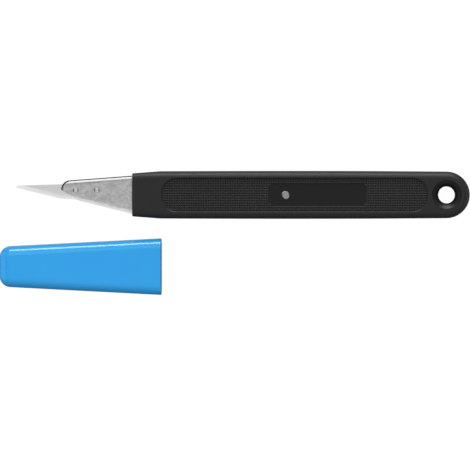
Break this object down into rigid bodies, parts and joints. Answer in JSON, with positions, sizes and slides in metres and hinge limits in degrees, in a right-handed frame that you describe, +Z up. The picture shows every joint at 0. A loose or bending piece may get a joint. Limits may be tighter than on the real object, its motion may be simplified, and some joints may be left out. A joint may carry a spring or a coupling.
{
  "type": "hobby craft knife",
  "caption": "Fixed-blade craft knife: small pointed blade in a folded sheet carrier, moulded handle with recessed grip panels and a hang eye, and a tapered pull-off cap lying beside it.",
  "frame": {"origin": "centre of the footprint of the knife and its cap as they lie, on the surface they lie on", "axes": "+X along the knife from its point to its hang eye, +Y from the cutting edge to the back of the blade, +Z up, across the handle's thickness"},
  "size_m": [0.1402, 0.037, 0.0098],
  "materials": {
    "handle": "black moulding, satin",
    "blade_carrier": "satin sheet, bright along the fold",
    "blade": "fine ground, brighter on the bevel",
    "rivets": "plain steel",
    "cap": "blue moulding, gloss"
  },
  "bodies": {
    "knife": {"handle": "handle", "blade_carrier": "blade_carrier", "blade": "blade", "front_blade_rivet": "rivets", "rear_blade_rivet": "rivets", "tang_rivet": "rivets"},
    "cap": {"cap": "cap"}
  },
  "joints": [
    {"name": "cap_slide", "type": "slide", "parent": "knife", "child": "cap", "axis": [-1, 0, 0], "range_m": [0, 0.045]}
  ]
}
